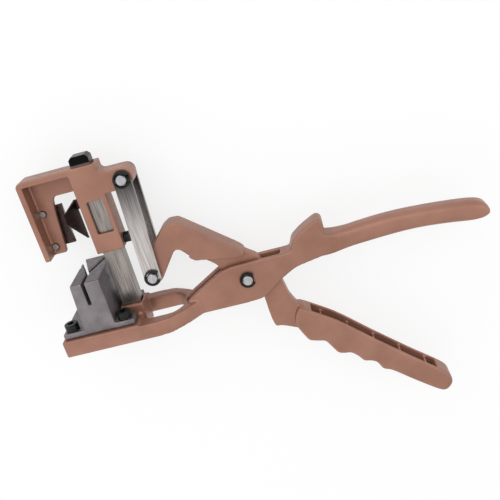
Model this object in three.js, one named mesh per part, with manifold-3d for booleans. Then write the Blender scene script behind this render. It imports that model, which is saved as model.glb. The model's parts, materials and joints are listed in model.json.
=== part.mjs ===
// Hand-held grafting tool: a hinged lever drives a V blade down a square post onto a slotted die block.
// Millimetres. X runs along the base towards the handles, Y along the post, Z through the thickness.
// Every piece is drawn from a datum beside the main pivot, and the whole is then moved to the base's underside.
import * as THREE from 'three';
import { mergeVertices } from 'three/addons/utils/BufferGeometryUtils.js';
import Module from 'manifold-3d';

// Clearances
const SEAT_GAP = 0.3;
const OVERRUN = 5;

// Main pivot, from the datum
const PIVOT_RIGHT = 3.4;
const PIVOT_DROP = 4.1;

// Body casting
const UNDERSIDE = 22;
const BASE_REACH = 133;
const BASE_HALF_WIDTH = 27;
const PLATFORM_PAST_POST = 5.2;
const PLATFORM_TOP = 9.8;
const ARM_TOP = 11;
const LOOP_END = 45;
const LOOP_HALF_WIDTH = 16;
const NECK_REACH = 42.8;
const CHEEK_HALF = 8;
const CHEEK_SLOT_GAP = 0.4;
const HANDLE_LENGTH = 175;
const HANDLE_HEIGHT = 16;
const HANDLE_ROUND = 2;
const CAST_EDGE = 0.8;
const STOP_REACH = 60;
const STOP_HEIGHT = 27;
const COLLAR_HALF_WIDTH = 8.4;
const COLLAR_HALF_DEPTH = 9;
const COLLAR_TOP = 2;

// Guide post and its bolt
const POST_PLACE = 82.2;
const PLATFORM_REACH = POST_PLACE - PLATFORM_PAST_POST;
const POST_WIDTH = 13.6;
const POST_HALF_DEPTH = 5;
const POST_TOP = 110;
const POST_BEVEL = 2;
const POCKET_DEPTH = 3.2;
const BOLT_HEAD_RADIUS = 4.9;
const BOLT_HEAD_HEIGHT = 5.2;
const BOLT_RADIUS = 3;
const BOLT_LENGTH = 16;
const SOCKET_RADIUS = 2.6;
const SOCKET_DEPTH = 2.8;

// Die block
const BLOCK_LEFT = 113.6;
const BLOCK_RIGHT = 92.6;
const BLOCK_TOP = 29;
const BLOCK_HALF_WIDTH = 24;
const BLOCK_FLARE = 2;
const FOOT_HEIGHT = 4;
const FOOT_INSET = 2;
const FOOT_LEFT = BASE_REACH - FOOT_INSET;
const FOOT_RIGHT = 79;
const EAR_INSIDE = 11;
const SLOT_WIDTH = 2.4;
const SLOT_APEX = 104.4;
const SLOT_FLOOR = 3;
const STEM_FLOOR = 12;
const LEG_SLOPE = 0.32;
const BLADE_APEX_DEPTH = 7;
const SCREW_INSET = 8.3;
const SCREW_LEFT = BASE_REACH - SCREW_INSET;
const SCREW_RIGHT = 86;
const SCREW_SPREAD = 18.2;

// Slider carriage
const COLUMN_LEFT = 92;
const COLUMN_RIGHT = 72;
const COLUMN_BOTTOM = 41;
const COLUMN_TOP = 103;
const COLUMN_HALF_DEPTH = 8;
const WINDOW_BOTTOM = 54.5;
const WINDOW_TOP = 78.5;
const WINDOW_LEFT = 86.5;
const BRACKET_BOTTOM = 44.5;
const FLANGE = 4;
const BRACKET_ARM_BOTTOM = 85.5;
const BLADE_ROOM_TOP = 7.6;
const BLADE_ROOM_BOTTOM = 11.9;
const BRACKET_INSIDE_TOP = SLOT_APEX + BLADE_ROOM_TOP;
const BRACKET_INSIDE_BOTTOM = SLOT_APEX + BLADE_ROOM_BOTTOM;
const BRACKET_WIDTH = 17;
const BRACKET_REACH = BRACKET_INSIDE_TOP + BRACKET_WIDTH;
const BRACKET_CORNER = 4;
const WEB_FRONT = 4;
const EAR_PLACE = 57.2;
const EAR_LEVEL = 88.6;
const EAR_RADIUS = 7.2;

// Blade
const BLADE_THICKNESS = 1.3;
const BLADE_APEX_BOTTOM = 66.5;
const BLADE_LEG_BOTTOM = 49;
const BLADE_APEX_TOP = 73.5;
const BLADE_TOP = 78.5;
const BLADE_TAB_BOTTOM = 71.5;
const TAB_INSET = 2;
const LEFT_TAB_REACH = BRACKET_REACH - TAB_INSET;
const RIGHT_TAB_REACH = 76;

// Linkage
const LOWER_PIN_REACH = 59.6;
const LOWER_PIN_LEVEL = 16;
const LINK_WIDTH = 12;
const LINK_THICKNESS = 3;
const LINK_INSIDE = 8.6;
const PIN_RADIUS = 3.5;
const GROOVE_RADIUS = 2.8;
const CLIP_RADIUS = 5.7;
const CLIP_THICKNESS = 1.2;
const PIN_TIP = 0.7;

// Lever casting
const ARM_SPAN = LOWER_PIN_REACH;
const ARM_RISE = 50;
const ARM_HALF = CHEEK_HALF;
const PLATE_HALF = 4;
const GRIP_HALF = 8.5;
const GRIP_SPAN = 130;
const GRIP_DROP = 130;
const GRIP_ROUND = 1.6;
const CHANNEL_DEPTH = 11;
const CHANNEL_WALL = 2.4;
const RIB_COUNT = 5;
const RIB_THICKNESS = 1.8;
const RIB_START_SHARE = 0.08;
const RIB_STEP_SHARE = 0.21;
const BUSH_WALL = 1.5;

// Small screws
const WEB_SCREW_RADIUS = 2.2;
const WEB_SCREW_HEAD = 3.8;
const COLUMN_SCREW_RADIUS = 1.4;
const COLUMN_SCREW_HEAD = 2.6;
const COLUMN_SCREW_REACH = 2.4;
const SCREW_HEAD_HEIGHT = 2.2;
const WEB_SCREW_UPPER = 75.2;
const WEB_SCREW_LOWER = 50.3;
const COLUMN_SCREW_UPPER = 73;
const COLUMN_SCREW_LOWER = 54;
const ADJUSTER_LEVEL = 46;
const ADJUSTER_RADIUS = 3.8;
const ADJUSTER_HEAD = 4;
const ADJUSTER_SHANK = 1.8;

const ROUND_STEPS = 24;
const CURVE_STEPS = 3;

const wasm = await Module();
wasm.setup();

const copper = new THREE.MeshStandardMaterial({ color: 0xa5785f, roughness: 0.55, metalness: 0.2 });
const zinc = new THREE.MeshStandardMaterial({ color: 0x96928f, roughness: 0.5, metalness: 0.6 });
const steel = new THREE.MeshStandardMaterial({ color: 0xb9bbbd, roughness: 0.3, metalness: 0.9 });
const black = new THREE.MeshStandardMaterial({ color: 0x1d1d20, roughness: 0.45, metalness: 0.6 });
const bronze = new THREE.MeshStandardMaterial({ color: 0x9a7440, roughness: 0.4, metalness: 0.9 });

// Solids from geometries, and back

function solid(geometry) {
  const plain = geometry.clone();
  plain.deleteAttribute('normal');
  plain.deleteAttribute('uv');
  const merged = mergeVertices(plain);
  return new wasm.Manifold(new wasm.Mesh({
    numProp: 3,
    vertProperties: merged.attributes.position.array,
    triVerts: Uint32Array.from(merged.index.array),
  }));
}

function geometryOf(body) {
  const mesh = body.getMesh();
  const geometry = new THREE.BufferGeometry();
  geometry.setAttribute('position', new THREE.BufferAttribute(mesh.vertProperties, mesh.numProp));
  geometry.setIndex(new THREE.BufferAttribute(mesh.triVerts, 1));
  return geometry;
}

function piece(name, body, material) {
  const mesh = new THREE.Mesh(geometryOf(body), material);
  mesh.name = name;
  return mesh;
}

// A box between two corners
function block(low, high) {
  const size = high.map((value, i) => value - low[i]);
  const geometry = new THREE.BoxGeometry(...size);
  geometry.translate(low[0] + size[0] / 2, low[1] + size[1] / 2, low[2] + size[2] / 2);
  return solid(geometry);
}

// An outline whose corners are [x, y, softness]: softness 0 is sharp and 1 rounds half of each side.
function outline(corners) {
  const shape = new THREE.Shape();
  const spots = corners.map(([x, y]) => new THREE.Vector2(x, y));
  corners.forEach(([, , softness = 0], i) => {
    const spot = spots[i];
    const enter = spot.clone().lerp(spots.at(i - 1), softness / 2);
    const leave = spot.clone().lerp(spots[(i + 1) % spots.length], softness / 2);
    if (i === 0) {
      shape.moveTo(enter.x, enter.y);
    } else {
      shape.lineTo(enter.x, enter.y);
    }
    if (softness > 0) {
      shape.quadraticCurveTo(spot.x, spot.y, leave.x, leave.y);
    }
  });
  shape.closePath();
  return shape;
}

function scaled(shares, width, height) {
  return shares.map(([x, y, softness]) => [x * width, y * height, softness]);
}

// A flat plate along Z, with its edges rounded by the given size
function plate(corners, low, high, round = 0) {
  const geometry = new THREE.ExtrudeGeometry(outline(corners), {
    depth: high - low - 2 * round,
    curveSegments: CURVE_STEPS,
    bevelEnabled: round > 0,
    bevelThickness: round,
    bevelSize: round,
    bevelOffset: -round,
    bevelSegments: 2,
  });
  geometry.translate(0, 0, low + round);
  return solid(geometry);
}

// A plate drawn in X and Z that rises along Y from low to high
function deck(corners, low, high) {
  const geometry = new THREE.ExtrudeGeometry(outline(corners.map(([x, z, softness]) => [x, -z, softness])), {
    depth: high - low,
    curveSegments: CURVE_STEPS,
    bevelEnabled: false,
  });
  geometry.rotateX(-Math.PI / 2);
  geometry.translate(0, low, 0);
  return solid(geometry);
}

// A turned piece about Z from a profile of [radius, z] points that starts and ends on the axis
function turned(profile) {
  const points = profile.map(([radius, z]) => new THREE.Vector2(radius, z));
  const geometry = new THREE.LatheGeometry(points, ROUND_STEPS);
  geometry.rotateX(Math.PI / 2);
  return solid(geometry);
}

function rod(radius, low, high) {
  const geometry = new THREE.CylinderGeometry(radius, radius, high - low, ROUND_STEPS);
  geometry.rotateX(Math.PI / 2);
  geometry.translate(0, 0, (low + high) / 2);
  return solid(geometry);
}

function hexRod(radius, low, high) {
  const geometry = new THREE.CylinderGeometry(radius, radius, high - low, 6);
  geometry.rotateX(Math.PI / 2);
  geometry.translate(0, 0, (low + high) / 2);
  return solid(geometry);
}

const upright = (body) => body.rotate([-90, 0, 0]);
const atPivot = (body) => body.translate([PIVOT_RIGHT, -PIVOT_DROP, 0]);

// Body casting

const handleShares = [
  [0.3, 0.3, 0.4], [0.335, 0.95, 0.6], [0.395, 0.82, 0.9], [0.51, 0.94, 0.9], [0.63, 1, 0.9],
  [0.78, 0.91, 0.9], [0.95, 0.71, 0.9], [0.993, 0.42, 0.9], [1, -0.05, 0.9], [0.952, -0.24, 0.9],
  [0.84, -0.03, 0.9], [0.69, 0.125, 0.9], [0.5, 0.03, 0.9], [0.33, -0.1, 0.4],
];
const stopShares = [
  [0.61, 0.28], [0.668, 0.574, 0.5], [0.8, 0.78, 0.5],
  [1, 1, 0.6], [1.06, 0.9, 0.6], [1.05, 0.52],
];

function neck() {
  return plate([
    [-NECK_REACH, -UNDERSIDE],
    [-NECK_REACH, -PLATFORM_TOP, 0.2],
    [-0.257 * NECK_REACH, CHEEK_HALF, 0.4],
    [0.86 * NECK_REACH, CHEEK_HALF, 0.2],
    [0.94 * NECK_REACH, HANDLE_HEIGHT * 0.95, 0.2],
    [1.47 * NECK_REACH, HANDLE_HEIGHT * 0.95, 0.2],
    [1.47 * NECK_REACH, 0, 0.2],
    [0.9 * NECK_REACH, -0.25 * HANDLE_HEIGHT, 0.4],
    [0.626 * NECK_REACH, -0.63 * HANDLE_HEIGHT, 0.4],
    [0.245 * NECK_REACH, -UNDERSIDE, 0.4],
  ], -CHEEK_HALF, CHEEK_HALF, CAST_EDGE);
}

function basePlan() {
  return [
    [-BASE_REACH, -BASE_HALF_WIDTH, 0.1],
    [-BASE_REACH, BASE_HALF_WIDTH, 0.1],
    [-0.75 * PLATFORM_REACH, BASE_HALF_WIDTH, 0.5],
    [-LOOP_END, 0.68 * BASE_HALF_WIDTH, 0.7],
    [-0.8 * NECK_REACH, CHEEK_HALF],
    [-0.8 * NECK_REACH, -CHEEK_HALF],
    [-LOOP_END, -0.68 * BASE_HALF_WIDTH, 0.7],
    [-0.75 * PLATFORM_REACH, -BASE_HALF_WIDTH, 0.5],
  ];
}

function loopPlan() {
  const middle = -(LOOP_END + LOOP_HALF_WIDTH / 2);
  return [
    [-PLATFORM_REACH, -LOOP_HALF_WIDTH, 0.1],
    [-PLATFORM_REACH, LOOP_HALF_WIDTH, 0.1],
    [middle, LOOP_HALF_WIDTH, 0.4],
    [-LOOP_END, LOOP_HALF_WIDTH / 2, 0.8],
    [-LOOP_END, -LOOP_HALF_WIDTH / 2, 0.8],
    [middle, -LOOP_HALF_WIDTH, 0.4],
  ];
}

function screwPlaces() {
  return [
    [-SCREW_LEFT, SCREW_SPREAD], [-SCREW_LEFT, -SCREW_SPREAD],
    [-SCREW_RIGHT, SCREW_SPREAD], [-SCREW_RIGHT, -SCREW_SPREAD],
  ];
}

function screwHole(radius, low, high, [x, z]) {
  return upright(rod(radius, low, high)).translate([x, 0, z]);
}

function bodyFrame() {
  const postLeft = -POST_PLACE - POST_WIDTH / 2 - SEAT_GAP;
  const postRight = -POST_PLACE + POST_WIDTH / 2 + SEAT_GAP;
  const postHalf = POST_HALF_DEPTH + SEAT_GAP;
  let body = neck()
    .add(plate(scaled(handleShares, HANDLE_LENGTH, HANDLE_HEIGHT), -CHEEK_HALF, CHEEK_HALF, HANDLE_ROUND))
    .add(plate(scaled(stopShares, STOP_REACH, STOP_HEIGHT), -CHEEK_HALF, CHEEK_HALF, CAST_EDGE))
    .add(deck(basePlan(), -UNDERSIDE, -ARM_TOP))
    .add(block(
      [-BASE_REACH, -UNDERSIDE, -BASE_HALF_WIDTH],
      [-PLATFORM_REACH, -PLATFORM_TOP, BASE_HALF_WIDTH]));
  body = body
    .subtract(deck(loopPlan(), -UNDERSIDE - OVERRUN, -COLLAR_TOP + OVERRUN))
    .add(block([-POST_PLACE - COLLAR_HALF_WIDTH, -UNDERSIDE, -COLLAR_HALF_DEPTH],
      [-POST_PLACE + COLLAR_HALF_WIDTH, -COLLAR_TOP, COLLAR_HALF_DEPTH]))
    .subtract(block([postLeft, -PLATFORM_TOP - POCKET_DEPTH, -postHalf], [postRight, OVERRUN, postHalf]));
  body = body.subtract(plate([
    [-1.03 * NECK_REACH, -0.68 * UNDERSIDE],
    [-1.03 * NECK_REACH, 2 * CHEEK_HALF],
    [0.62 * NECK_REACH, 2 * CHEEK_HALF],
    [0.72 * NECK_REACH, 0.4 * CHEEK_HALF],
    [NECK_REACH, -0.1 * CHEEK_HALF],
    [NECK_REACH, -1.5 * UNDERSIDE],
    [-0.28 * NECK_REACH, -1.5 * UNDERSIDE],
    [-0.28 * NECK_REACH, -0.68 * UNDERSIDE],
  ], -PLATE_HALF - CHEEK_SLOT_GAP, PLATE_HALF + CHEEK_SLOT_GAP));
  body = body.subtract(atPivot(rod(PIN_RADIUS + SEAT_GAP, -CHEEK_HALF - OVERRUN, CHEEK_HALF + OVERRUN)));
  for (const place of screwPlaces()) {
    body = body.subtract(screwHole(BOLT_RADIUS + SEAT_GAP, -UNDERSIDE + SOCKET_DEPTH, OVERRUN, place));
  }
  body = body.subtract(screwHole(BOLT_RADIUS + SEAT_GAP, -UNDERSIDE - OVERRUN, 0, [-POST_PLACE, 0]));
  const recessTop = -UNDERSIDE + BOLT_HEAD_HEIGHT + SEAT_GAP;
  body = body.subtract(
    screwHole(BOLT_HEAD_RADIUS + SEAT_GAP, -UNDERSIDE - OVERRUN, recessTop, [-POST_PLACE, 0]));
  return piece('body_frame', body, copper);
}

// Die block with its feet, screws and blade slots

function dieBlock() {
  const bottom = -PLATFORM_TOP + SEAT_GAP;
  const footTop = bottom + FOOT_HEIGHT;
  let body = plate([
    [-BLOCK_LEFT - BLOCK_FLARE, bottom],
    [-BLOCK_LEFT, BLOCK_TOP],
    [-BLOCK_RIGHT, BLOCK_TOP],
    [-BLOCK_RIGHT, bottom],
  ], -BLOCK_HALF_WIDTH, BLOCK_HALF_WIDTH, CAST_EDGE);
  body = body.add(block([-FOOT_LEFT, bottom, -BLOCK_HALF_WIDTH], [-BLOCK_LEFT, footTop, BLOCK_HALF_WIDTH]));
  for (const side of [-1, 1]) {
    const low = Math.min(side * EAR_INSIDE, side * BLOCK_HALF_WIDTH);
    const high = Math.max(side * EAR_INSIDE, side * BLOCK_HALF_WIDTH);
    body = body.add(block([-BLOCK_RIGHT - CAST_EDGE, bottom, low], [-FOOT_RIGHT, footTop, high]));
    const far = -BLOCK_HALF_WIDTH - OVERRUN;
    const run = (BLADE_APEX_DEPTH - far) * LEG_SLOPE * side;
    const half = SLOT_WIDTH / 2;
    body = body.subtract(deck([
      [-SLOT_APEX - half, BLADE_APEX_DEPTH],
      [-SLOT_APEX + half, BLADE_APEX_DEPTH],
      [-SLOT_APEX + run + half, far],
      [-SLOT_APEX + run - half, far],
    ], SLOT_FLOOR, BLOCK_TOP + OVERRUN));
  }
  const tab = -COLUMN_HALF_DEPTH - SEAT_GAP - BLADE_THICKNESS / 2;
  const tabInside = -SLOT_APEX - (BLADE_APEX_DEPTH - tab) * LEG_SLOPE;
  body = body.subtract(block(
    [-BLOCK_LEFT - OVERRUN, SLOT_FLOOR, tab - SLOT_WIDTH / 2],
    [tabInside, BLOCK_TOP + OVERRUN, tab + SLOT_WIDTH / 2]));
  body = body.subtract(block(
    [-SLOT_APEX - SLOT_WIDTH / 2, STEM_FLOOR, 0],
    [-SLOT_APEX + SLOT_WIDTH / 2, BLOCK_TOP + OVERRUN, BLOCK_HALF_WIDTH + OVERRUN]));
  for (const place of screwPlaces()) {
    body = body.subtract(screwHole(BOLT_RADIUS + SEAT_GAP, bottom - OVERRUN, footTop + OVERRUN, place));
    body = body.subtract(screwHole(BOLT_HEAD_RADIUS + SEAT_GAP, footTop, footTop + 2 * OVERRUN, place));
  }
  return piece('die_block', body, zinc);
}

// A socket cap screw along Y: the head's seat is at level zero and the shank runs down
function capScrew(length) {
  return upright(turned([
    [0, -length], [BOLT_RADIUS, -length], [BOLT_RADIUS, 0], [BOLT_HEAD_RADIUS, 0],
    [BOLT_HEAD_RADIUS, BOLT_HEAD_HEIGHT - SEAT_GAP],
    [BOLT_HEAD_RADIUS - SEAT_GAP, BOLT_HEAD_HEIGHT],
    [0, BOLT_HEAD_HEIGHT],
  ]).subtract(hexRod(SOCKET_RADIUS, BOLT_HEAD_HEIGHT - SOCKET_DEPTH, BOLT_HEAD_HEIGHT + OVERRUN)));
}

function blockScrews() {
  const seat = -PLATFORM_TOP + FOOT_HEIGHT + 2 * SEAT_GAP;
  return screwPlaces().map(([x, z], i) => {
    const mesh = piece(`block_screw_${i + 1}`, capScrew(BOLT_LENGTH * 0.75), black);
    mesh.position.set(x, seat, z);
    return mesh;
  });
}

// Guide post

function guidePost() {
  const bottom = -PLATFORM_TOP - POCKET_DEPTH + SEAT_GAP;
  const half = POST_WIDTH / 2;
  const profile = [
    [-POST_PLACE - half, bottom],
    [-POST_PLACE - half, POST_TOP - POST_BEVEL],
    [-POST_PLACE - half + POST_BEVEL, POST_TOP],
    [-POST_PLACE + half - POST_BEVEL, POST_TOP],
    [-POST_PLACE + half, POST_TOP - POST_BEVEL],
    [-POST_PLACE + half, bottom],
  ];
  const hole = screwHole(BOLT_RADIUS + SEAT_GAP, bottom - OVERRUN, bottom + BOLT_LENGTH, [-POST_PLACE, 0]);
  const bar = plate(profile, -POST_HALF_DEPTH, POST_HALF_DEPTH, SEAT_GAP);
  return piece('guide_post', bar.subtract(hole), steel);
}

function postBolt() {
  const mesh = piece('post_bolt', capScrew(BOLT_LENGTH).rotate([180, 0, 0]), black);
  mesh.position.set(-POST_PLACE, -UNDERSIDE + BOLT_HEAD_HEIGHT, 0);
  return mesh;
}

// Slider carriage

function sliderCarriage() {
  const half = POST_WIDTH / 2 + SEAT_GAP;
  const earTop = EAR_LEVEL + EAR_RADIUS;
  const earBottom = EAR_LEVEL - EAR_RADIUS;
  const column = block(
    [-COLUMN_LEFT, COLUMN_BOTTOM, -COLUMN_HALF_DEPTH],
    [-COLUMN_RIGHT, COLUMN_TOP, COLUMN_HALF_DEPTH]);
  const topFlange = block([-BRACKET_REACH, COLUMN_TOP - FLANGE, -COLUMN_HALF_DEPTH],
    [-COLUMN_LEFT + SEAT_GAP, COLUMN_TOP, COLUMN_HALF_DEPTH]);
  const sideFlange = block([-BRACKET_REACH, BRACKET_BOTTOM, -COLUMN_HALF_DEPTH],
    [-BRACKET_REACH + FLANGE, COLUMN_TOP, COLUMN_HALF_DEPTH]);
  const web = plate([
    [-BRACKET_REACH, BRACKET_BOTTOM],
    [-BRACKET_REACH, COLUMN_TOP],
    [-COLUMN_LEFT + SEAT_GAP, COLUMN_TOP],
    [-COLUMN_LEFT + SEAT_GAP, BRACKET_ARM_BOTTOM, 0.2],
    [-BRACKET_INSIDE_TOP, BRACKET_ARM_BOTTOM, 0.3],
    [-BRACKET_INSIDE_BOTTOM, BRACKET_BOTTOM, 0.1],
  ], -COLUMN_HALF_DEPTH, -WEB_FRONT);
  const ear = plate([
    [-COLUMN_RIGHT - SEAT_GAP, earTop + 0.3 * EAR_RADIUS],
    [-COLUMN_RIGHT + 0.25 * EAR_RADIUS, earTop, 0.6],
    [-EAR_PLACE, earTop],
    [-EAR_PLACE, earBottom],
    [-COLUMN_RIGHT - SEAT_GAP, earBottom],
  ], -COLUMN_HALF_DEPTH, COLUMN_HALF_DEPTH);
  const earEnd = rod(EAR_RADIUS, -COLUMN_HALF_DEPTH, COLUMN_HALF_DEPTH).translate([-EAR_PLACE, EAR_LEVEL, 0]);
  let body = column.add(topFlange).add(sideFlange).add(web).add(ear).add(earEnd).subtract(bracketCorner());
  body = body.subtract(block(
    [-POST_PLACE - half, COLUMN_BOTTOM - OVERRUN, -POST_HALF_DEPTH - SEAT_GAP],
    [-POST_PLACE + half, COLUMN_TOP + OVERRUN, POST_HALF_DEPTH + SEAT_GAP]));
  body = body.subtract(block(
    [-WINDOW_LEFT, WINDOW_BOTTOM, 0],
    [-POST_PLACE + half, WINDOW_TOP, 2 * COLUMN_HALF_DEPTH]));
  body = body.subtract(rod(PIN_RADIUS + SEAT_GAP, -2 * COLUMN_HALF_DEPTH, 2 * COLUMN_HALF_DEPTH)
    .translate([-EAR_PLACE, EAR_LEVEL, 0]));
  for (const level of [WEB_SCREW_UPPER, WEB_SCREW_LOWER]) {
    body = body.subtract(rod(WEB_SCREW_RADIUS + SEAT_GAP, -2 * COLUMN_HALF_DEPTH, 0)
      .translate([-webScrewPlace(), level, 0]));
  }
  for (const level of [COLUMN_SCREW_UPPER, COLUMN_SCREW_LOWER]) {
    body = body.subtract(rod(COLUMN_SCREW_RADIUS + SEAT_GAP, -2 * COLUMN_HALF_DEPTH, 0)
      .translate([-POST_PLACE, level, 0]));
  }
  body = body.subtract(rod(ADJUSTER_SHANK + SEAT_GAP, 0, COLUMN_LEFT - COLUMN_RIGHT).rotate([0, 90, 0])
    .translate([-POST_PLACE, ADJUSTER_LEVEL, 0]));
  return piece('slider_carriage', body, copper);
}

// What the bracket's rounded outer corner leaves off
function bracketCorner() {
  const far = COLUMN_HALF_DEPTH + OVERRUN;
  const round = rod(BRACKET_CORNER, -far - OVERRUN, far + OVERRUN)
    .translate([-BRACKET_REACH + BRACKET_CORNER, COLUMN_TOP - BRACKET_CORNER, 0]);
  return block(
    [-BRACKET_REACH - OVERRUN, COLUMN_TOP - BRACKET_CORNER, -far],
    [-BRACKET_REACH + BRACKET_CORNER, COLUMN_TOP + OVERRUN, far]).subtract(round);
}

const webScrewPlace = () => BRACKET_REACH - FLANGE - WEB_SCREW_RADIUS;

// Blade: a bent strip seen from above, trimmed to its stepped lower edge

function vBlade() {
  const back = -COLUMN_HALF_DEPTH - SEAT_GAP;
  const deep = back - BLADE_THICKNESS;
  const spread = (BLADE_APEX_DEPTH - back) * LEG_SLOPE;
  const half = BLADE_THICKNESS / 2;
  const legs = deck([
    [-SLOT_APEX, BLADE_APEX_DEPTH + half],
    [-SLOT_APEX + spread + half, back],
    [-SLOT_APEX + spread + half, deep],
    [-SLOT_APEX + spread - half, deep],
    [-SLOT_APEX, BLADE_APEX_DEPTH - 3 * half],
    [-SLOT_APEX - spread + half, deep],
    [-SLOT_APEX - spread - half, deep],
    [-SLOT_APEX - spread - half, back],
  ], BLADE_LEG_BOTTOM, BLADE_TOP);
  const slope = (BLADE_APEX_BOTTOM - BLADE_LEG_BOTTOM) / (BLADE_APEX_DEPTH - deep);
  const wedge = solid(wedgeGeometry(BLADE_LEG_BOTTOM - OVERRUN, BLADE_LEG_BOTTOM, slope, deep));
  const fall = (BLADE_APEX_TOP - BLADE_TOP) / (BLADE_APEX_DEPTH - deep);
  const cap = solid(wedgeGeometry(BLADE_TOP + OVERRUN, BLADE_TOP, fall, deep));
  const strip = block([-LEFT_TAB_REACH, BLADE_TAB_BOTTOM, deep], [-RIGHT_TAB_REACH, BLADE_TOP, back])
    .subtract(block([-SLOT_APEX - spread, 0, deep - half], [-SLOT_APEX + spread, 2 * BLADE_TOP, back + half]));
  const leftTab = block([-LEFT_TAB_REACH, BLADE_LEG_BOTTOM, deep], [-SLOT_APEX - spread, BLADE_TOP, back]);
  const rightTab = block([-COLUMN_LEFT, BLADE_LEG_BOTTOM, deep], [-RIGHT_TAB_REACH, BLADE_TOP, back]);
  let body = legs.subtract(wedge).subtract(cap).add(strip).add(leftTab).add(rightTab);
  const far = 4 * COLUMN_HALF_DEPTH;
  for (const level of [WEB_SCREW_UPPER, WEB_SCREW_LOWER]) {
    body = body.subtract(rod(WEB_SCREW_RADIUS + SEAT_GAP, -far, 0).translate([-webScrewPlace(), level, 0]));
  }
  for (const level of [COLUMN_SCREW_UPPER, COLUMN_SCREW_LOWER]) {
    body = body.subtract(rod(COLUMN_SCREW_RADIUS + SEAT_GAP, -far, 0).translate([-POST_PLACE, level, 0]));
  }
  return piece('v_blade', body, black);
}

// The region between a flat level and a sloping edge that starts at the leg ends and runs past the apex
function wedgeGeometry(flat, edge, slope, deep) {
  const shape = new THREE.Shape();
  const reach = BLADE_APEX_DEPTH + OVERRUN;
  shape.moveTo(-deep, flat);
  shape.lineTo(-reach, flat);
  shape.lineTo(-reach, edge + slope * (reach - deep));
  shape.lineTo(-deep, edge);
  const width = 2 * (COLUMN_LEFT - COLUMN_RIGHT);
  const geometry = new THREE.ExtrudeGeometry(shape, { depth: width, bevelEnabled: false });
  geometry.rotateY(Math.PI / 2);
  geometry.translate(-SLOT_APEX - width / 2, 0, 0);
  return geometry;
}

// Small screws whose heads lie behind the blade's tabs
function tabScrew(name, radius, head, length, x, level) {
  const tip = -COLUMN_HALF_DEPTH + length;
  const seat = -COLUMN_HALF_DEPTH - 2 * SEAT_GAP - BLADE_THICKNESS;
  const body = turned([
    [0, seat - SCREW_HEAD_HEIGHT], [head, seat - SCREW_HEAD_HEIGHT], [head, seat],
    [radius, seat], [radius, tip], [0, tip],
  ]).subtract(hexRod(head / 2, seat - SCREW_HEAD_HEIGHT - OVERRUN, seat - SCREW_HEAD_HEIGHT / 2));
  const mesh = piece(name, body, name.startsWith('web') ? steel : black);
  mesh.position.set(x, level, 0);
  return mesh;
}

function adjustingScrew() {
  const body = turned([
    [0, -POST_PLACE + POST_WIDTH / 2 + SEAT_GAP], [ADJUSTER_SHANK, -POST_PLACE + POST_WIDTH / 2 + SEAT_GAP],
    [ADJUSTER_SHANK, -COLUMN_RIGHT + SEAT_GAP], [ADJUSTER_RADIUS, -COLUMN_RIGHT + SEAT_GAP],
    [ADJUSTER_RADIUS, -COLUMN_RIGHT + ADJUSTER_HEAD], [0, -COLUMN_RIGHT + ADJUSTER_HEAD],
  ]).subtract(hexRod(ADJUSTER_SHANK, -COLUMN_RIGHT + ADJUSTER_HEAD / 2, 0));
  const mesh = piece('adjusting_screw', body.rotate([0, 90, 0]), black);
  mesh.position.set(0, ADJUSTER_LEVEL, 0);
  return mesh;
}

// Pins, clips and links

// A pin half from z = low outwards, with a groove for a clip beyond the given face
function pinProfile(face, tipFirst) {
  const groove = face + SEAT_GAP;
  const end = groove + CLIP_THICKNESS + 2 * SEAT_GAP;
  const points = [
    [PIN_RADIUS, groove], [GROOVE_RADIUS, groove], [GROOVE_RADIUS, end], [PIN_RADIUS, end],
    [PIN_RADIUS, end + PIN_TIP], [GROOVE_RADIUS, end + 2 * PIN_TIP], [0, end + 2 * PIN_TIP],
  ];
  return tipFirst ? points.map(([radius, z]) => [radius, -z]).reverse() : points;
}

function longPin(name, face, x, y) {
  const mesh = piece(name, turned([...pinProfile(face, true), ...pinProfile(face, false)]), steel);
  mesh.position.set(x, y, 0);
  return mesh;
}

function stubPin(name, side) {
  const face = LINK_INSIDE + LINK_THICKNESS;
  const start = ARM_HALF + SEAT_GAP;
  let body = turned([[0, start], [PIN_RADIUS, start], ...pinProfile(face, false)]);
  if (side < 0) {
    body = body.rotate([180, 0, 0]);
  }
  const mesh = piece(name, body, steel);
  mesh.position.set(-LOWER_PIN_REACH, LOWER_PIN_LEVEL, 0);
  return mesh;
}

// An E-clip: a broad C with three prongs that reach into the pin's groove
function clip(name, face, side, x, y) {
  const prongs = [60, 180, 300];
  const first = 32;
  const steps = 37;
  const turn = (360 - 2 * first) / (steps - 1);
  const angles = Array.from({ length: steps }, (_, i) => first + i * turn);
  const inner = (angle) => (prongs.some((prong) => Math.abs(prong - angle) < turn * 1.6)
    ? GROOVE_RADIUS + SEAT_GAP
    : (CLIP_RADIUS + PIN_RADIUS) / 2);
  const at = (radius, angle) => {
    const turnTo = THREE.MathUtils.degToRad(angle);
    return [radius * Math.cos(turnTo), radius * Math.sin(turnTo)];
  };
  const corners = [
    ...angles.map((angle) => at(CLIP_RADIUS, angle)),
    ...angles.toReversed().map((angle) => at(inner(angle), angle)),
  ];
  const start = face + 2 * SEAT_GAP;
  const mesh = piece(name, plate(corners, start, start + CLIP_THICKNESS), steel);
  if (side < 0) {
    mesh.rotation.y = Math.PI;
  }
  mesh.position.set(x, y, 0);
  return mesh;
}

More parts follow.
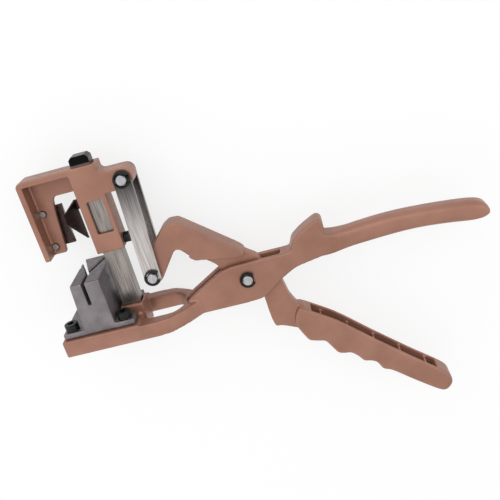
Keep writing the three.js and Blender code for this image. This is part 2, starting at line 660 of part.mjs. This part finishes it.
function link(name, side) {
  const dx = -EAR_PLACE + LOWER_PIN_REACH;
  const dy = EAR_LEVEL - LOWER_PIN_LEVEL;
  const length = Math.hypot(dx, dy);
  const low = Math.min(side * LINK_INSIDE, side * (LINK_INSIDE + LINK_THICKNESS));
  const high = low + LINK_THICKNESS;
  const half = LINK_WIDTH / 2;
  let body = block([-half, 0, low], [half, length, high])
    .add(rod(half, low, high))
    .add(rod(half, low, high).translate([0, length, 0]));
  for (const level of [0, length]) {
    body = body.subtract(rod(PIN_RADIUS + SEAT_GAP, low - OVERRUN, high + OVERRUN).translate([0, level, 0]));
  }
  const mesh = piece(name, body, steel);
  mesh.rotation.z = -Math.atan2(dx, dy);
  mesh.position.set(-LOWER_PIN_REACH, LOWER_PIN_LEVEL, 0);
  return mesh;
}

// Lever casting

const armShares = [
  [-1.05, 0.24, 0.6], [-0.985, 0.16, 0.6], [-0.9, 0.24, 0.3], [-0.687, 0.574, 0.4], [-0.647, 0.604, 0.4],
  [-0.587, 0.578, 0.3], [-0.513, 0.494, 0.3], [-0.532, 0.446, 0.3], [-0.447, 0.35, 0.3], [-0.398, 0.374, 0.3],
  [-0.2, 0.2, 0.2], [-0.05, 0.2, 0.2], [0.13, 0.3, 0.4], [-0.5, 0.94, 0.3], [-0.55, 0.984, 0.5],
  [-0.655, 0.992, 0.5], [-0.743, 0.93, 0.3], [-0.857, 0.784, 0.4], [-1.08, 0.5, 0.4],
];
const plateShares = [
  [-0.66, 0.62, 0.3], [-0.53, 0.44, 0.3], [-0.4, 0.37, 0.3], [-0.24, 0.2, 0.5],
  [-0.2, -0.02, 0.6], [-0.12, -0.2, 0.6],
  [0.172, -0.3, 0.4], [0.19, -0.8, 0.3], [0.212, -0.944, 0.5], [0.3, -0.96, 0.4], [0.55, -1.1, 0.4],
  [0.62, -0.74, 0.2], [0.53, -0.668, 0.3], [0.475, -0.52, 0.3], [0.435, -0.25, 0.4],
  [0.24, 0.19, 0.6], [0.14, 0.28, 0.3],
  [-0.5, 0.92, 0.3],
];
const gripShares = [
  [0.222, -0.31, 0.4], [0.205, -0.365, 0.4], [0.231, -0.428, 0.5], [0.257, -0.485, 0.6], [0.3, -0.5, 0.7],
  [0.345, -0.51, 0.7], [0.368, -0.551, 0.7], [0.396, -0.605, 0.7], [0.43, -0.617, 0.7], [0.468, -0.621, 0.7],
  [0.501, -0.654, 0.7], [0.527, -0.695, 0.7], [0.565, -0.702, 0.7], [0.597, -0.72, 0.7], [0.62, -0.774, 0.7],
  [0.664, -0.789, 0.7], [0.77, -0.882, 0.7], [0.884, -0.976, 0.8], [0.93, -1.005, 0.8], [0.962, -0.995, 0.8],
  [0.99, -0.96, 0.8], [0.985, -0.91, 0.8], [0.945, -0.865, 0.8], [0.8, -0.74, 0.7], [0.62, -0.575, 0.7],
  [0.44, -0.4, 0.7], [0.3, -0.3, 0.6], [0.25, -0.268, 0.6],
];

// The channel's two ends on the grip's upper edge
const channelShares = [[0.312, -0.312], [0.92, -0.845]];

function pinEye() {
  return rod(LINK_WIDTH / 2, -ARM_HALF, ARM_HALF).translate([-LOWER_PIN_REACH, LOWER_PIN_LEVEL, 0]);
}

// The thick arm stays above the cheeks' slanted edge when the lever is closed
function armTrim() {
  return plate([
    [-0.72 * ARM_SPAN, 0.43 * ARM_RISE],
    [0, 0.28 * ARM_RISE],
    [0.5 * ARM_SPAN, 0.28 * ARM_RISE],
    [0.5 * ARM_SPAN, -ARM_RISE],
    [-0.68 * ARM_SPAN, -ARM_RISE],
  ], -2 * ARM_HALF, 2 * ARM_HALF);
}

function handleLever() {
  const arm = plate(scaled(armShares, ARM_SPAN, ARM_RISE), -ARM_HALF, ARM_HALF, CAST_EDGE / 2);
  const thin = plate(scaled(plateShares, ARM_SPAN, ARM_RISE), -PLATE_HALF, PLATE_HALF);
  const grip = plate(scaled(gripShares, GRIP_SPAN, GRIP_DROP), -GRIP_HALF, GRIP_HALF, GRIP_ROUND);
  let body = arm.subtract(armTrim()).add(pinEye()).add(thin).add(grip);
  const [startX, startY] = channelShares[0];
  const runX = (channelShares[1][0] - startX) * GRIP_SPAN;
  const runY = (channelShares[1][1] - startY) * GRIP_DROP;
  const run = Math.hypot(runX, runY);
  const half = GRIP_HALF - CHANNEL_WALL;
  let channel = block([0, -CHANNEL_DEPTH, -half], [run, OVERRUN, half]);
  for (let i = 0; i < RIB_COUNT; i += 1) {
    const place = run * (RIB_START_SHARE + i * RIB_STEP_SHARE);
    channel = channel.subtract(block([place, -CHANNEL_DEPTH - OVERRUN, -GRIP_HALF],
      [place + RIB_THICKNESS, -RIB_THICKNESS, GRIP_HALF]));
  }
  const angle = THREE.MathUtils.radToDeg(Math.atan2(runY, runX));
  body = body.subtract(channel.rotate([0, 0, angle]).translate([startX * GRIP_SPAN, startY * GRIP_DROP, 0]));
  body = body.subtract(atPivot(rod(PIN_RADIUS + BUSH_WALL + 2 * SEAT_GAP, -2 * ARM_HALF, 2 * ARM_HALF)));
  return piece('handle_lever', body, copper);
}

function pivotBush() {
  const body = rod(PIN_RADIUS + SEAT_GAP + BUSH_WALL, -PLATE_HALF, PLATE_HALF)
    .subtract(rod(PIN_RADIUS + SEAT_GAP, -2 * PLATE_HALF, 2 * PLATE_HALF));
  return piece('pivot_bush', atPivot(body), bronze);
}

const webScrew = (name, level) => tabScrew(
  name, WEB_SCREW_RADIUS, WEB_SCREW_HEAD, COLUMN_HALF_DEPTH - WEB_FRONT + SEAT_GAP, -webScrewPlace(), level);
const columnScrew = (name, level) => tabScrew(
  name, COLUMN_SCREW_RADIUS, COLUMN_SCREW_HEAD, COLUMN_SCREW_REACH, -POST_PLACE, level);

const group = new THREE.Group();
const linkFace = LINK_INSIDE + LINK_THICKNESS;
group.add(
  bodyFrame(),
  dieBlock(),
  ...blockScrews(),
  guidePost(),
  postBolt(),
  sliderCarriage(),
  vBlade(),
  webScrew('web_screw_upper', WEB_SCREW_UPPER),
  webScrew('web_screw_lower', WEB_SCREW_LOWER),
  columnScrew('column_screw_upper', COLUMN_SCREW_UPPER),
  columnScrew('column_screw_lower', COLUMN_SCREW_LOWER),
  adjustingScrew(),
  longPin('main_pivot_pin', CHEEK_HALF, PIVOT_RIGHT, -PIVOT_DROP),
  clip('pivot_clip_front', CHEEK_HALF, 1, PIVOT_RIGHT, -PIVOT_DROP),
  clip('pivot_clip_rear', CHEEK_HALF, -1, PIVOT_RIGHT, -PIVOT_DROP),
  longPin('upper_link_pin', linkFace, -EAR_PLACE, EAR_LEVEL),
  clip('upper_link_clip_front', linkFace, 1, -EAR_PLACE, EAR_LEVEL),
  clip('upper_link_clip_rear', linkFace, -1, -EAR_PLACE, EAR_LEVEL),
  link('link_front', 1),
  link('link_rear', -1),
  stubPin('lower_link_pin_front', 1),
  stubPin('lower_link_pin_rear', -1),
  clip('lower_link_clip_front', linkFace, 1, -LOWER_PIN_REACH, LOWER_PIN_LEVEL),
  clip('lower_link_clip_rear', linkFace, -1, -LOWER_PIN_REACH, LOWER_PIN_LEVEL),
  handleLever(),
  pivotBush(),
);
group.position.set(SLOT_APEX, UNDERSIDE, 0);

const tool = new THREE.Group();
tool.add(group);

export default tool;
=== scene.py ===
"""Looks of a hand-held grafting tool: softened castings, machined steel, lights, the photo's camera.

Lengths are in metres, as in the frame. Shades are sRGB values of 0 to 255. A noise's scale is
about how many of its spots fit in a metre, and a bump is a noise's scale and a strength.
"""
import json
import math

import bpy
import numpy as np
from mathutils import Matrix, Vector


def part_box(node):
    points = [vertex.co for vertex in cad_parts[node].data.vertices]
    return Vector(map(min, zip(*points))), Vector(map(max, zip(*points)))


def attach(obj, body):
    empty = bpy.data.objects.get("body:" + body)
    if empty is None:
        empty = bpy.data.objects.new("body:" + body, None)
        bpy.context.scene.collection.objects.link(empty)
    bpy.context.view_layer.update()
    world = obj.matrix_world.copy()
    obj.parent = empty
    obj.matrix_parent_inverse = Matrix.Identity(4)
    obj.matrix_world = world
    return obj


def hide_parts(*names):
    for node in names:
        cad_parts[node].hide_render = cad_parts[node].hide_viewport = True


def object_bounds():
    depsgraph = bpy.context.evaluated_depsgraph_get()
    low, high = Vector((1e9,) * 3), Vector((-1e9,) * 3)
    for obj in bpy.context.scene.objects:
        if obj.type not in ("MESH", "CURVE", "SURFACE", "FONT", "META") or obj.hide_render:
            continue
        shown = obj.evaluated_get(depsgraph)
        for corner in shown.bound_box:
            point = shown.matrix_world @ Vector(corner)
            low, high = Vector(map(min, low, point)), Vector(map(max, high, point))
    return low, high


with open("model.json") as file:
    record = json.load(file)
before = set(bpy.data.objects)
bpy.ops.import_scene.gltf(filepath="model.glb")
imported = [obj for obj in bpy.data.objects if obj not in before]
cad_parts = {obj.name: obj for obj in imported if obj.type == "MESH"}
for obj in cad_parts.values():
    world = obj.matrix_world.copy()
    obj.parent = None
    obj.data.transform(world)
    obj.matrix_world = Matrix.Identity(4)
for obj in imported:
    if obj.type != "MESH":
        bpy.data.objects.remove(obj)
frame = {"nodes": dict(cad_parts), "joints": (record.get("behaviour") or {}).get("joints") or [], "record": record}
cad_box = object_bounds()
MM = 0.001
HINGE = next(joint for joint in frame["joints"] if joint["name"] == "handle_hinge")
PIVOT = Vector(HINGE["pos_m"])

# The photo's camera: focal length in pixels of the photo, eye and axes in the frame

PHOTO_PIXELS = 500.0
FOCAL_PIXELS = 714.0
SENSOR_MM = 36.0
NEAR_CLIP = 10 * MM
EYE = Vector((0.1696, 0.2197, 0.4615))
CAMERA_AXES = Matrix((
    (0.9643, 0.2404, 0.1108),
    (-0.2645, 0.8915, 0.3679),
    (-0.01035, -0.3841, 0.9233),
))

# Castings: the grid of a remeshed copy, and the rounds of smoothing that soften its edges

BODY_VOXEL = 0.8 * MM
FINE_VOXEL = 0.55 * MM
BODY_ROUNDS = 5
FINE_ROUNDS = 4
SMOOTH_FACTOR = 0.5

# Machined nodes: edges that turn by more than this stay sharp

SHARP_ANGLE = math.radians(32)

# The upper handle's rounded section: where it starts, how it fades in, how its edges thin out

HANDLE_FROM_PIVOT = 60 * MM
HANDLE_START = Vector((PIVOT.x + HANDLE_FROM_PIVOT, PIVOT.y, 0))
HANDLE_FADE = 18 * MM
HANDLE_OVERRUN = 1 * MM
HANDLE_SLICES = 60
HANDLE_POWER = 2.8
HANDLE_EDGE_SHARE = 0.25

# Shades: the sRGB curve, and plain black and white

SRGB_TOP = 255
SRGB_TOE = 0.04045
SRGB_TOE_SLOPE = 12.92
SRGB_OFFSET = 0.055
SRGB_POWER = 2.4
BLACK = (0, 0, 0, 1)
WHITE = (1, 1, 1, 1)

# Noise: the range that holds most of its values, its usual detail, and no stretch

NOISE_RANGE = (0.3, 0.7)
NOISE_DETAIL = 3.0
EVEN = (1, 1, 1)
UNIT_RANGE = (0.0, 1.0)

# Worn edges, partly wear and partly a painted highlight: the pointiness and the noise over which the lighter shade
# comes in

WEAR_AND_HIGHLIGHT_POINTINESS = (0.53, 0.62)
WEAR_AND_HIGHLIGHT_PATCHES = (0.45, 0.62)
WEAR_AND_HIGHLIGHT_SCALE = 260

# Copper-brown paint

PAINT_SHADES = ((139, 97, 80), (156, 112, 94))
# The lighter edge shade is partly wear and partly a painted highlight
PAINT_WORN_AND_HIGHLIGHT = (190, 148, 129)
PAINT_METALLIC = 0.35
PAINT_MOTTLE = 45
PAINT_SHEEN = 700
PAINT_ROUGHNESS = (0.32, 0.46)
PAINT_BUMPS = ((900, 0.18), (110, 0.1))
PAINT_DEPTH = 0.3 * MM

# Grey casting of the die block

ZINC_SHADES = ((98, 92, 95), (128, 121, 124))
# The pale edge shade is partly wear and partly a painted highlight
ZINC_WORN_AND_HIGHLIGHT = (200, 198, 200)
ZINC_METALLIC = 0.55
ZINC_MOTTLE = 60
ZINC_DETAIL = 5
ZINC_SHEEN = 300
ZINC_ROUGHNESS = (0.36, 0.55)
ZINC_BUMPS = ((800, 0.3), (90, 0.25))
ZINC_DEPTH = 0.4 * MM

# Steel with streaks along Y: ground post and links with a dark end, plated pins and web screws

STEEL_METALLIC = 0.9
STEEL_STREAKS = 1600
STEEL_DETAIL = 4
STEEL_SHEEN = 900
STEEL_BUMP = 0.08
STEEL_DEPTH = 0.1 * MM
GROUND_STRETCH = (1, 0.03, 1)
GROUND_ROUGHNESS = (0.22, 0.36)
PLATED_STRETCH = (1, 0.1, 1)
PLATED_ROUGHNESS = (0.3, 0.45)
POST_SHADES = ((104, 97, 93), (158, 150, 145))
LINK_SHADES = ((150, 144, 142), (196, 190, 187))
PLATED_SHADES = ((138, 138, 140), (188, 188, 190))
DARK_END = (12, 10, 11)
POST_FADE = 1.5 * MM
# The links' long fade to black towards their top is painted shade
LINK_SHADE_REACH = 46 * MM
LINK_SHADE_FADE = 42 * MM

# Black oxide of the screws, the bolt and the clips, and of the browner blade

OXIDE_METALLIC = 0.6
OXIDE_MOTTLE = 400
OXIDE_SHEEN = 500
OXIDE_ROUGHNESS = (0.3, 0.48)
OXIDE_BUMPS = ((1100, 0.12),)
OXIDE_DEPTH = 0.2 * MM
SCREW_SHADES = ((14, 14, 16), (30, 29, 31))
BLADE_SHADES = ((40, 27, 25), (64, 46, 42))

# Bronze of the lever's bush

BRONZE_SHADES = ((150, 112, 62), (176, 136, 82))
BRONZE_METALLIC = 0.9
BRONZE_ROUGHNESS = 0.35
BRONZE_MOTTLE = 120
BRONZE_BUMPS = ((600, 0.1),)
BRONZE_DEPTH = 0.2 * MM

# Stage: a floor just under the object, and a world that is softer as a light than as it is seen

FLOOR_DROP = 0.2 * MM
FLOOR_HALF = 3000 * MM
FLOOR_COLOUR = (0.9, 0.9, 0.9, 1)
FLOOR_ROUGHNESS = 0.9
FLOOR_GLOW_SHARE = 0.75
WORLD_GLOW_SHARE = 1.0
WORLD_LIGHT = 0.72
SEEN_WHITE = 1.0

# Each lamp's place from the middle of the object, its size, and its power in watts

LAMPS = {
    "key": (Vector((-0.35, 0.75, 0.8)), 1.4, 5.5),
    "fill": (Vector((0.8, 0.1, 0.6)), 1.4, 3.0),
    "rim": (Vector((-0.6, -0.5, 0.5)), 1.1, 2.0),
}


# Shades

def linear_part(value):
    """One sRGB channel of 0 to 1 as a linear one."""
    if value <= SRGB_TOE:
        return value / SRGB_TOE_SLOPE
    return ((value + SRGB_OFFSET) / (1 + SRGB_OFFSET)) ** SRGB_POWER


def linear(shade):
    """An sRGB shade as the linear RGBA that shaders take."""
    return (*(linear_part(value / SRGB_TOP) for value in shade), 1.0)


# Shader nodes

def start_material(name, metallic):
    material = bpy.data.materials.new(name)
    material.use_nodes = True
    shader = material.node_tree.nodes["Principled BSDF"]
    shader.inputs["Metallic"].default_value = metallic
    return material, material.node_tree, shader


def noise(tree, scale, detail=NOISE_DETAIL, stretch=EVEN):
    """Noise on the piece's own coordinates. A share under 1 in stretch draws it out along that axis."""
    place = tree.nodes.new("ShaderNodeTexCoord")
    mapping = tree.nodes.new("ShaderNodeMapping")
    mapping.inputs["Scale"].default_value = stretch
    texture = tree.nodes.new("ShaderNodeTexNoise")
    texture.inputs["Scale"].default_value = scale
    texture.inputs["Detail"].default_value = detail
    tree.links.new(place.outputs["Object"], mapping.inputs["Vector"])
    tree.links.new(mapping.outputs["Vector"], texture.inputs["Vector"])
    return texture.outputs["Fac"]


def ramp(tree, value, places, colours):
    """Goes from the first colour to the second as the value goes from the first place to the second."""
    node = tree.nodes.new("ShaderNodeValToRGB")
    for element, place, colour in zip(node.color_ramp.elements, places, colours):
        element.position = place
        element.color = colour
    tree.links.new(value, node.inputs["Fac"])
    return node.outputs["Color"]


def shaded(tree, value, shades):
    """Two shades laid over a noise."""
    return ramp(tree, value, NOISE_RANGE, [linear(shade) for shade in shades])


def remapped(tree, value, source, target=UNIT_RANGE):
    node = tree.nodes.new("ShaderNodeMapRange")
    node.inputs["From Min"].default_value = source[0]
    node.inputs["From Max"].default_value = source[1]
    node.inputs["To Min"].default_value = target[0]
    node.inputs["To Max"].default_value = target[1]
    tree.links.new(value, node.inputs["Value"])
    return node.outputs["Result"]


def combined(tree, operation, first, second):
    node = tree.nodes.new("ShaderNodeMath")
    node.operation = operation
    tree.links.new(first, node.inputs[0])
    tree.links.new(second, node.inputs[1])
    return node.outputs["Value"]


def mixed(tree, amount, base, shade):
    """Mixes a shade into a base colour by an amount of 0 to 1."""
    mix = tree.nodes.new("ShaderNodeMix")
    mix.data_type = "RGBA"
    mix.inputs["B"].default_value = linear(shade)
    tree.links.new(amount, mix.inputs["Factor"])
    tree.links.new(base, mix.inputs["A"])
    return mix.outputs["Result"]


def roughen(tree, shader, scale, roughness, stretch=EVEN):
    """Lets a noise move the roughness between two values."""
    value = noise(tree, scale, stretch=stretch)
    tree.links.new(remapped(tree, value, NOISE_RANGE, roughness), shader.inputs["Roughness"])


def grains(tree, bumps):
    """Each bump as its noise and its strength."""
    return [(noise(tree, scale), strength) for scale, strength in bumps]


def bump(tree, shader, heights, depth):
    """Adds one bump for each (height, strength), each on top of the last."""
    last = None
    for height, strength in heights:
        node = tree.nodes.new("ShaderNodeBump")
        node.inputs["Strength"].default_value = strength
        node.inputs["Distance"].default_value = depth
        tree.links.new(height, node.inputs["Height"])
        if last is not None:
            tree.links.new(last, node.inputs["Normal"])
        last = node.outputs["Normal"]
    tree.links.new(last, shader.inputs["Normal"])


def worn_and_highlit_edges(tree, base, worn_and_highlight):
    """Mixes a lighter shade in along convex edges, broken up by noise: partly wear, partly a painted highlight."""
    geometry = tree.nodes.new("ShaderNodeNewGeometry")
    sharp = ramp(tree, geometry.outputs["Pointiness"], WEAR_AND_HIGHLIGHT_POINTINESS, (BLACK, WHITE))
    patches = ramp(tree, noise(tree, WEAR_AND_HIGHLIGHT_SCALE), WEAR_AND_HIGHLIGHT_PATCHES, (BLACK, WHITE))
    return mixed(tree, combined(tree, "MULTIPLY", sharp, patches), base, worn_and_highlight)


# Materials

def copper_paint():
    material, tree, shader = start_material("copper_paint", PAINT_METALLIC)
    base = shaded(tree, noise(tree, PAINT_MOTTLE), PAINT_SHADES)
    # Lighter edges: partly wear, partly a painted highlight
    tree.links.new(worn_and_highlit_edges(tree, base, PAINT_WORN_AND_HIGHLIGHT), shader.inputs["Base Color"])
    roughen(tree, shader, PAINT_SHEEN, PAINT_ROUGHNESS)
    bump(tree, shader, grains(tree, PAINT_BUMPS), PAINT_DEPTH)
    return material


def cast_zinc():
    material, tree, shader = start_material("cast_zinc", ZINC_METALLIC)
    base = shaded(tree, noise(tree, ZINC_MOTTLE, ZINC_DETAIL), ZINC_SHADES)
    # Lighter edges: partly wear, partly a painted highlight
    tree.links.new(worn_and_highlit_edges(tree, base, ZINC_WORN_AND_HIGHLIGHT), shader.inputs["Base Color"])
    roughen(tree, shader, ZINC_SHEEN, ZINC_ROUGHNESS)
    bump(tree, shader, grains(tree, ZINC_BUMPS), ZINC_DEPTH)
    return material


def steel(name, shades, stretch, roughness):
    material, tree, shader = start_material(name, STEEL_METALLIC)
    streaks = noise(tree, STEEL_STREAKS, STEEL_DETAIL, stretch)
    tree.links.new(shaded(tree, streaks, shades), shader.inputs["Base Color"])
    roughen(tree, shader, STEEL_SHEEN, roughness, stretch)
    bump(tree, shader, [(streaks, STEEL_BUMP)], STEEL_DEPTH)
    return material


def dark_ended(name, shades, level, width):
    """Ground steel that turns black above a level of Y, over the width."""
    material = steel(name, shades, GROUND_STRETCH, GROUND_ROUGHNESS)
    tree = material.node_tree
    colour = tree.nodes["Principled BSDF"].inputs["Base Color"]
    bright = colour.links[0].from_socket
    place = tree.nodes.new("ShaderNodeTexCoord")
    parts = tree.nodes.new("ShaderNodeSeparateXYZ")
    tree.links.new(place.outputs["Object"], parts.inputs["Vector"])
    fade = remapped(tree, parts.outputs["Y"], (level, level + width))
    tree.links.new(mixed(tree, fade, bright, DARK_END), colour)
    return material


def black_oxide(name, shades):
    material, tree, shader = start_material(name, OXIDE_METALLIC)
    tree.links.new(shaded(tree, noise(tree, OXIDE_MOTTLE), shades), shader.inputs["Base Color"])
    roughen(tree, shader, OXIDE_SHEEN, OXIDE_ROUGHNESS)
    bump(tree, shader, grains(tree, OXIDE_BUMPS), OXIDE_DEPTH)
    return material


def bronze():
    material, tree, shader = start_material("bronze", BRONZE_METALLIC)
    shader.inputs["Roughness"].default_value = BRONZE_ROUGHNESS
    tree.links.new(shaded(tree, noise(tree, BRONZE_MOTTLE), BRONZE_SHADES), shader.inputs["Base Color"])
    bump(tree, shader, grains(tree, BRONZE_BUMPS), BRONZE_DEPTH)
    return material


CARRIAGE_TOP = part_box("slider_carriage")[1].y
LINK_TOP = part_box("link_front")[1].y
PAINT = copper_paint()
ZINC = cast_zinc()
POST = dark_ended("post_steel", POST_SHADES, CARRIAGE_TOP, POST_FADE)
# On the links the fade to black is painted shade
LINKS = dark_ended("link_steel", LINK_SHADES, LINK_TOP - LINK_SHADE_REACH, LINK_SHADE_FADE)
PLATED = steel("plated_steel", PLATED_SHADES, PLATED_STRETCH, PLATED_ROUGHNESS)
OXIDE = black_oxide("black_oxide", SCREW_SHADES)
BLADE = black_oxide("blade_steel", BLADE_SHADES)
BRONZE = bronze()

# Each casting's voxel, rounds of smoothing, material and slot

CASTINGS = {
    "body_frame": (BODY_VOXEL, BODY_ROUNDS, PAINT, "copper_paint"),
    "slider_carriage": (FINE_VOXEL, FINE_ROUNDS, PAINT, "copper_paint"),
    "handle_lever": (FINE_VOXEL, FINE_ROUNDS, PAINT, "copper_paint"),
    "die_block": (FINE_VOXEL, FINE_ROUNDS, ZINC, "cast_zinc"),
}

# The other nodes' materials, by the start of the node's name. The rest are black oxide

FINISHES = {
    "guide_post": POST,
    "link": LINKS,
    "lower_link_pin": PLATED,
    "upper_link_pin": PLATED,
    "main_pivot": PLATED,
    "web_screw": PLATED,
    "pivot_bush": BRONZE,
    "v_blade": BLADE,
}


# Castings: a copy of the node with its edges softened as a die leaves them

def body_of(node):
    for body, members in frame["record"]["behaviour"]["bodies"].items():
        if node in members:
            return body
    raise ValueError(node)


def softened(node, voxel, rounds, material, slot):
    source = frame["nodes"][node]
    piece = bpy.data.objects.new(node + "_cast", source.data.copy())
    bpy.context.scene.collection.objects.link(piece)
    remesh = piece.modifiers.new("even_mesh", "REMESH")
    remesh.mode = "VOXEL"
    remesh.voxel_size = voxel
    smooth = piece.modifiers.new("soft_edges", "SMOOTH")
    smooth.factor = SMOOTH_FACTOR
    smooth.iterations = rounds
    depsgraph = bpy.context.evaluated_depsgraph_get()
    baked = bpy.data.meshes.new_from_object(piece.evaluated_get(depsgraph))
    piece.modifiers.clear()
    piece.data = baked
    baked.shade_smooth()
    baked.materials.clear()
    baked.materials.append(material)
    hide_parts(node)
    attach(piece, body_of(node))
    return piece


def smoothstep(share):
    """Goes from 0 to 1 with a soft start and end."""
    return share * share * (3 - 2 * share)


def round_handle(body):
    """Rounds the upper handle's section: its Z shrinks towards its two edges."""
    mesh = body.data
    values = np.empty(len(mesh.vertices) * 3)
    mesh.vertices.foreach_get("co", values)
    points = values.reshape(-1, 3)
    along = points[:, 0] - HANDLE_START.x
    across = points[:, 1] - HANDLE_START.y
    inside = along > 0
    edges = np.linspace(0, along.max() + HANDLE_OVERRUN, HANDLE_SLICES + 1)
    slices = np.clip(np.digitize(along, edges) - 1, 0, HANDLE_SLICES - 1)
    middles = (edges[:-1] + edges[1:]) / 2
    low = np.array([across[inside & (slices == i)].min() for i in range(HANDLE_SLICES)])
    high = np.array([across[inside & (slices == i)].max() for i in range(HANDLE_SLICES)])
    centre = np.interp(along, middles, (low + high) / 2)
    half = np.interp(along, middles, (high - low) / 2)
    out_share = np.clip(np.abs(across - centre) / half, 0, 1)
    roundness = (1 - out_share ** HANDLE_POWER) ** (1 / HANDLE_POWER)
    depth_share = HANDLE_EDGE_SHARE + (1 - HANDLE_EDGE_SHARE) * roundness
    weight = smoothstep(np.clip(along / HANDLE_FADE, 0, 1))
    points[:, 2] *= 1 - weight * (1 - depth_share)
    mesh.vertices.foreach_set("co", points.ravel())
    mesh.update()


def castings():
    pieces = {node: softened(node, *making) for node, making in CASTINGS.items()}
    round_handle(pieces["body_frame"])


# Machined pieces keep their nodes

def finish_nodes():
    for name, node in frame["nodes"].items():
        material = next((m for start, m in FINISHES.items() if name.startswith(start)), OXIDE)
        node.data.materials.clear()
        node.data.materials.append(material)
        node.data.shade_smooth()
        node.data.set_sharp_from_angle(angle=SHARP_ANGLE)


# Stage

def seen_rays(tree, share):
    """The share for camera, glossy and transmission rays, and zero for the rays that light the object."""
    path = tree.nodes.new("ShaderNodeLightPath")
    total = path.outputs["Is Camera Ray"]
    for ray in ("Is Glossy Ray", "Is Transmission Ray"):
        total = combined(tree, "MAXIMUM", total, path.outputs[ray])
    part = tree.nodes.new("ShaderNodeMath")
    part.operation = "MULTIPLY"
    part.inputs[1].default_value = share
    tree.links.new(total, part.inputs[0])
    return part.outputs["Value"]


def mix_by_ray(tree, share, lit, seen, output):
    """Gives the output what is lit, and mixes in what is only seen, by its share."""
    mix = tree.nodes.new("ShaderNodeMixShader")
    tree.links.new(seen_rays(tree, share), mix.inputs["Fac"])
    tree.links.new(lit, mix.inputs[1])
    tree.links.new(seen, mix.inputs[2])
    tree.links.new(mix.outputs["Shader"], tree.nodes[output].inputs["Surface"])


def backdrop_material():
    material, tree, shader = start_material("pale_floor", 0.0)
    shader.inputs["Base Color"].default_value = FLOOR_COLOUR
    shader.inputs["Roughness"].default_value = FLOOR_ROUGHNESS
    glow = tree.nodes.new("ShaderNodeEmission")
    glow.inputs["Strength"].default_value = SEEN_WHITE
    mix_by_ray(tree, FLOOR_GLOW_SHARE, shader.outputs["BSDF"], glow.outputs["Emission"], "Material Output")
    return material


def floor():
    level = cad_box[0][2] - FLOOR_DROP
    corners = [(x * FLOOR_HALF, y * FLOOR_HALF, level) for x, y in ((-1, -1), (1, -1), (1, 1), (-1, 1))]
    mesh = bpy.data.meshes.new("floor")
    mesh.from_pydata(corners, [], [(0, 1, 2, 3)])
    mesh.materials.append(backdrop_material())
    plane = bpy.data.objects.new("floor", mesh)
    bpy.context.scene.collection.objects.link(plane)


def area_light(name, place, target, size, power):
    light = bpy.data.lights.new(name, "AREA")
    light.size = size
    light.energy = power
    lamp = bpy.data.objects.new(name, light)
    lamp.location = place
    lamp.rotation_euler = (target - place).to_track_quat("-Z", "Y").to_euler()
    bpy.context.scene.collection.objects.link(lamp)


def lights():
    middle = (Vector(cad_box[0]) + Vector(cad_box[1])) / 2
    for name, (offset, size, power) in LAMPS.items():
        area_light(name, middle + offset, middle, size, power)


def studio_world():
    world = bpy.data.worlds.new("studio")
    world.use_nodes = True
    tree = world.node_tree
    soft = tree.nodes["Background"]
    white = tree.nodes.new("ShaderNodeBackground")
    for background, strength in ((soft, WORLD_LIGHT), (white, SEEN_WHITE)):
        background.inputs["Color"].default_value = WHITE
        background.inputs["Strength"].default_value = strength
    lit = soft.outputs["Background"]
    seen = white.outputs["Background"]
    mix_by_ray(tree, WORLD_GLOW_SHARE, lit, seen, "World Output")
    bpy.context.scene.world = world


def camera():
    data = bpy.data.cameras.new("photo_camera")
    data.sensor_width = SENSOR_MM
    data.lens = FOCAL_PIXELS / PHOTO_PIXELS * SENSOR_MM
    data.clip_start = NEAR_CLIP
    eye = bpy.data.objects.new("photo_camera", data)
    eye.matrix_world = Matrix.Translation(EYE) @ CAMERA_AXES.to_4x4()
    bpy.context.scene.collection.objects.link(eye)
    bpy.context.scene.camera = eye


camera()
lights()
studio_world()
floor()
finish_nodes()
castings()
bpy.context.scene.view_settings.view_transform = "Standard"
